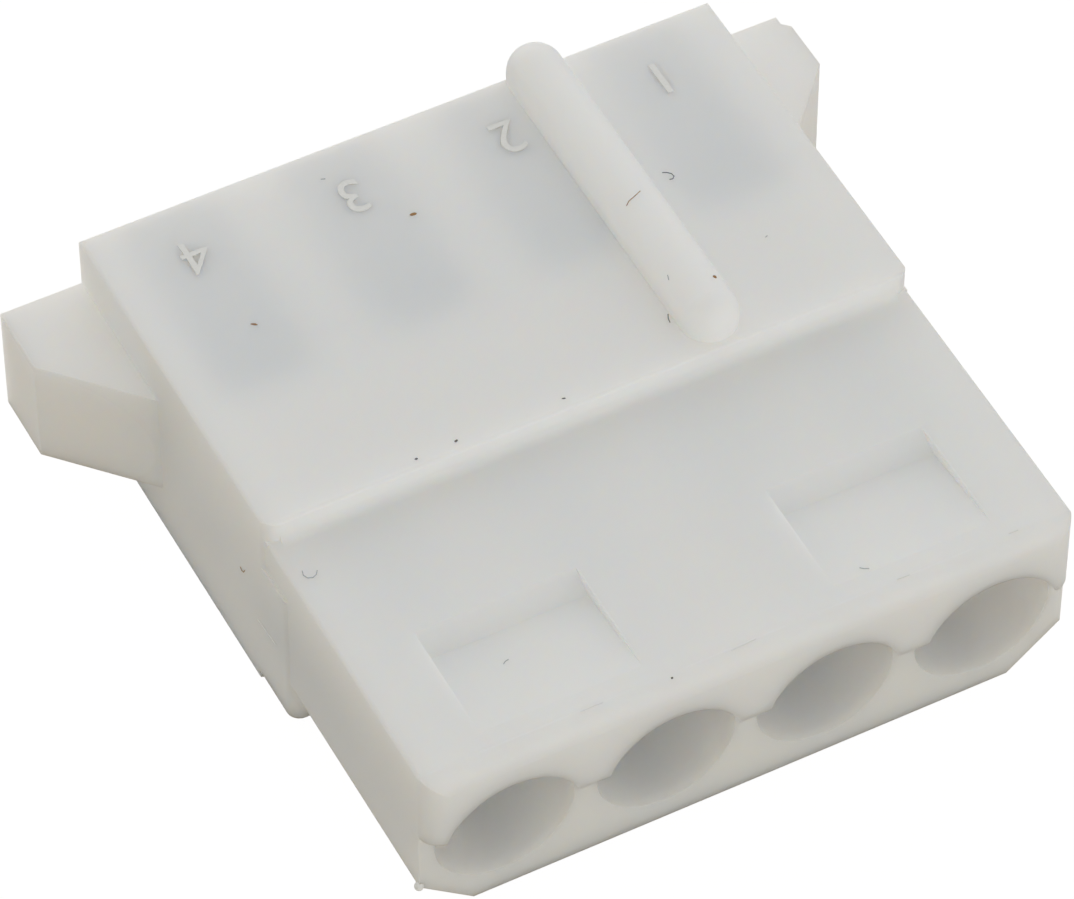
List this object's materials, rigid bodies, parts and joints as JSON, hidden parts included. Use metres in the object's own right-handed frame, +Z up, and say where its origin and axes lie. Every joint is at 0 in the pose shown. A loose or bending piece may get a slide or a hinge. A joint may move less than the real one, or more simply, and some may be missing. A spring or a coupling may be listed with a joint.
{
  "type": "wire to board connector housing",
  "caption": "Moulded plug housing for a row of crimp contacts, with round mating bores, sloped lower corners, latch grooves, a guide rib and finger wings.",
  "frame": {"origin": "centre of the overall box, on the underside of the rear block that the housing stands on", "axes": "+X along the row of circuits, -Y out of the mating bores, +Y towards the wires, +Z up through the side with the rib"},
  "size_m": [0.026, 0.0224, 0.0088],
  "materials": {
    "nylon": "satin, milky and slightly translucent natural nylon"
  },
  "bodies": {
    "root": {"housing": "nylon"}
  },
  "joints": []
}
